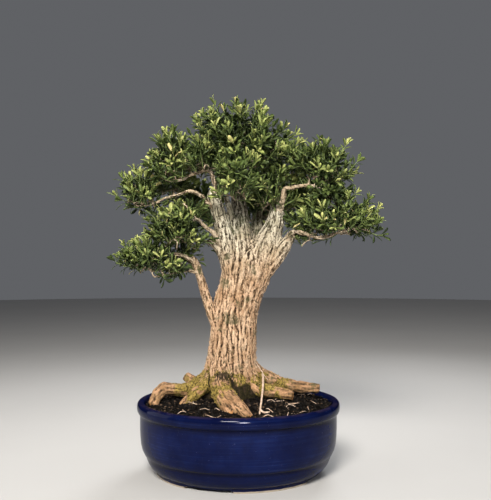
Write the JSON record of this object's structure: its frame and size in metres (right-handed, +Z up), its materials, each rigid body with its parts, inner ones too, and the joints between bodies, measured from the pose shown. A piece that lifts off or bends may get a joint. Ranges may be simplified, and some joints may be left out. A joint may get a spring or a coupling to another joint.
{
  "type": "boxwood bonsai in a round pot",
  "caption": "Old boxwood bonsai with a furrowed trunk, spreading surface roots and leafy branch pads, in a round glazed pot",
  "frame": {"origin": "centre of the whole plant's box, at the underside of the pot's feet", "axes": "+Z up along the trunk, +X to the right of the side shown in the picture, +Y away from that side"},
  "size_m": [0.34, 0.262, 0.4858],
  "materials": {
    "glaze": "gloss",
    "screen": "matte",
    "soil": "matte",
    "bark": "matte",
    "leaf": "satin"
  },
  "bodies": {
    "root": {"pot": "glaze", "drain_screen": "screen", "soil": "soil", "trunk_and_branches": "bark", "leafy_spray_01": "leaf", "leafy_spray_02": "leaf", "leafy_spray_03": "leaf", "leafy_spray_04": "leaf", "leafy_spray_05": "leaf", "leafy_spray_06": "leaf", "leafy_spray_07": "leaf", "leafy_spray_08": "leaf", "leafy_spray_09": "leaf", "leafy_spray_10": "leaf", "leafy_spray_11": "leaf", "leafy_spray_12": "leaf", "leafy_spray_13": "leaf", "leafy_spray_14": "leaf", "leafy_spray_15": "leaf", "leafy_spray_16": "leaf", "leafy_spray_17": "leaf", "leafy_spray_18": "leaf", "leafy_spray_19": "leaf", "leafy_spray_20": "leaf", "leafy_spray_21": "leaf", "leafy_spray_22": "leaf", "leafy_spray_23": "leaf", "leafy_spray_24": "leaf", "leafy_spray_25": "leaf", "leafy_spray_26": "leaf", "leafy_spray_27": "leaf", "leafy_spray_28": "leaf", "leafy_spray_29": "leaf", "leafy_spray_30": "leaf", "leafy_spray_31": "leaf", "leafy_spray_32": "leaf", "leafy_spray_33": "leaf", "leafy_spray_34": "leaf", "leafy_spray_35": "leaf", "leafy_spray_36": "leaf", "leafy_spray_37": "leaf", "leafy_spray_38": "leaf", "leafy_spray_39": "leaf", "leafy_spray_40": "leaf", "leafy_spray_41": "leaf", "leafy_spray_42": "leaf", "leafy_spray_43": "leaf", "leafy_spray_44": "leaf", "leafy_spray_45": "leaf", "leafy_spray_46": "leaf", "leafy_spray_47": "leaf", "leafy_spray_48": "leaf", "leafy_spray_49": "leaf"}
  },
  "joints": []
}
